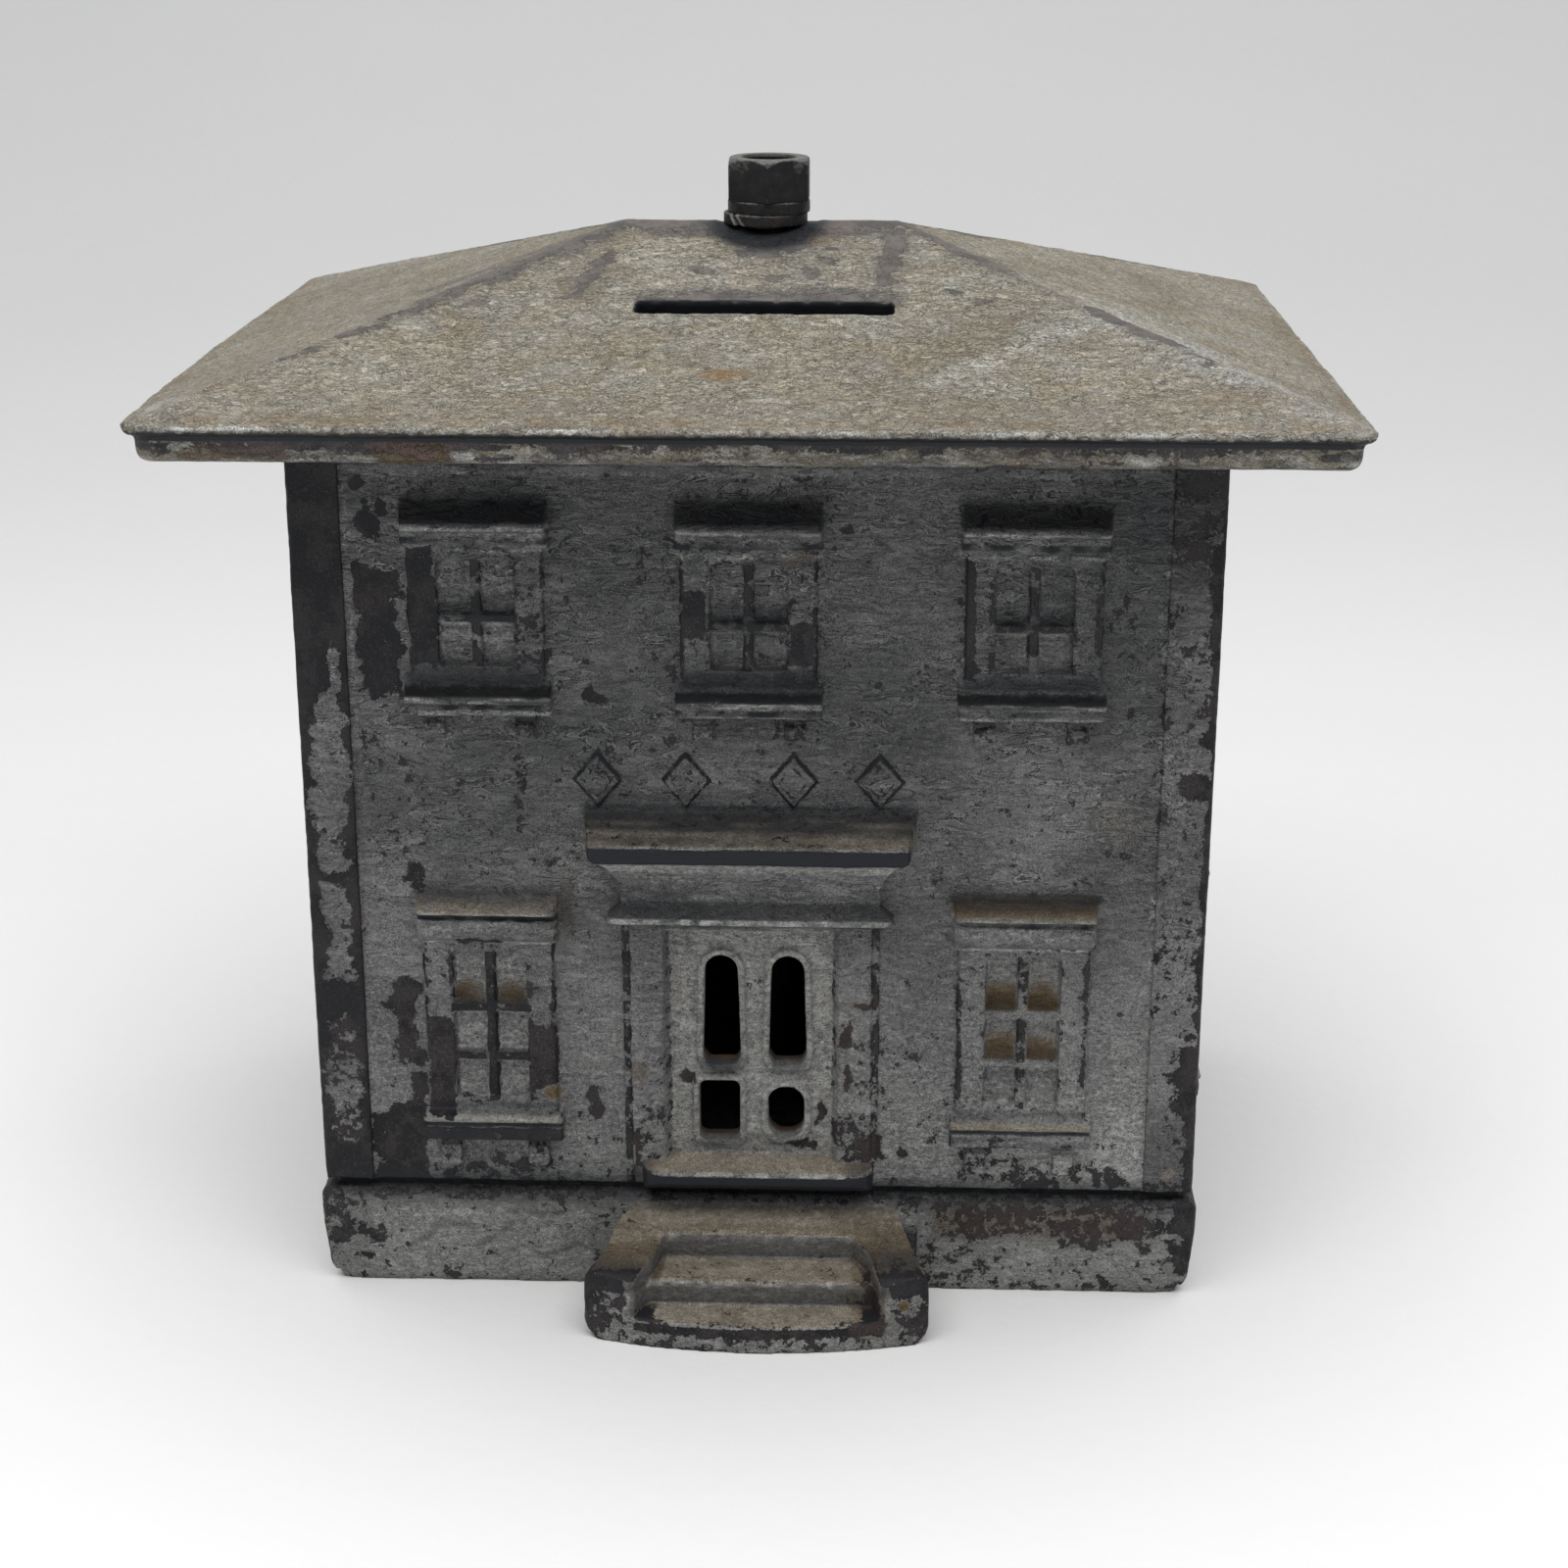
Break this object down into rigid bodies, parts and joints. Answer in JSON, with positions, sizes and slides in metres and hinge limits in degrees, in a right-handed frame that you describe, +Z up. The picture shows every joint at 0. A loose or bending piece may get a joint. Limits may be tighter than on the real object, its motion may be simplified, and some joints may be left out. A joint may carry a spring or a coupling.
{
  "type": "cast iron house bank",
  "caption": "Coin bank in the form of a two-storey house with front steps: four cast walls clamped between a base and a slotted hipped roof by one long bolt and nut.",
  "frame": {"origin": "on the floor below the middle of the house", "axes": "+Z up, -Y is the front with the door and the steps, +X to the right seen from the front"},
  "size_m": [0.126, 0.1038, 0.1255],
  "materials": {
    "wall_paint": "worn grey paint over dark bare iron",
    "base_paint": "worn grey paint over dark bare iron, rust brown patches",
    "roof_paint": "worn beige-grey paint, bare along ridge and hips",
    "dark_steel": "old dark steel, matt"
  },
  "bodies": {
    "house": {"base": "base_paint", "front_wall": "wall_paint", "back_wall": "wall_paint", "left_wall": "wall_paint", "right_wall": "wall_paint", "through_bolt": "dark_steel"},
    "roof_cover": {"roof": "roof_paint", "lock_washer": "dark_steel"},
    "washer": {"flat_washer": "dark_steel"},
    "nut": {"hex_nut": "dark_steel"}
  },
  "joints": [
    {"name": "roof_lift", "type": "slide", "parent": "house", "child": "roof_cover", "axis": [0, 0, 1], "range_m": [0, 0.04]},
    {"name": "nut_rise", "type": "slide", "parent": "roof_cover", "child": "washer", "axis": [0, 0, 1], "range_m": [0, 0.00317]},
    {"name": "nut_spin", "type": "hinge", "parent": "washer", "child": "nut", "pos_m": [0, 0, 0.1231], "axis": [0, 0, 1], "range_deg": [0, 1080]}
  ],
  "couplings": [
    {"joint": "nut_spin", "follows": "nut_rise", "rad_per_m": 5936.8}
  ]
}
